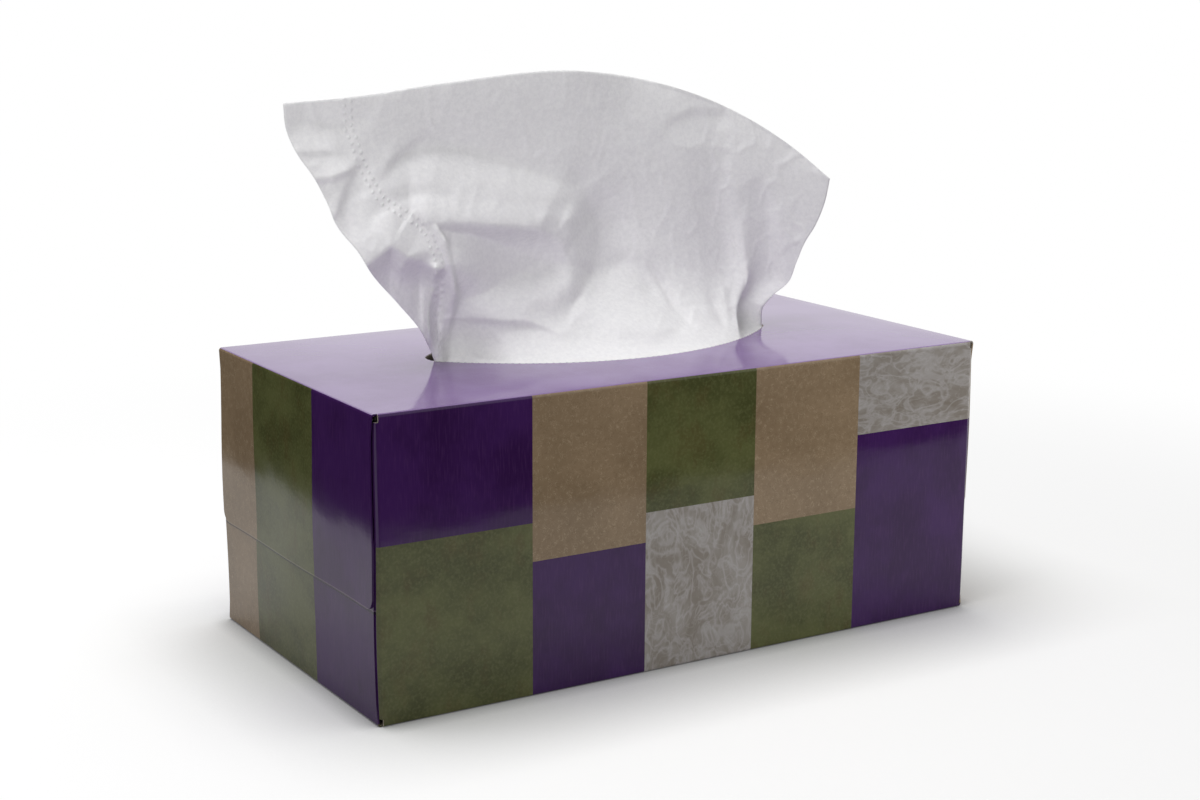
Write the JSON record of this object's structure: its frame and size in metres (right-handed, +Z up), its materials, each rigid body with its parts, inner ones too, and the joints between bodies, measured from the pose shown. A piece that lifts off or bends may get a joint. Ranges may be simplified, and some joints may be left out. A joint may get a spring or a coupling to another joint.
{
  "type": "tissue box",
  "caption": "Flat folded carton of interfolded facial tissues with an oval torn-out opening in its top and the first sheet pulled up through it, fanned out and gathered at the rim.",
  "frame": {"origin": "middle of the carton's base, on the surface that it stands on", "axes": "+X along the carton's length, +Y towards its back, +Z up"},
  "size_m": [0.23, 0.12, 0.1885],
  "materials": {
    "printed_board": "gloss",
    "tissue": "matte"
  },
  "bodies": {
    "root": {"carton": "printed_board", "tissue_stack": "tissue", "pulled_tissue": "tissue"}
  },
  "joints": []
}
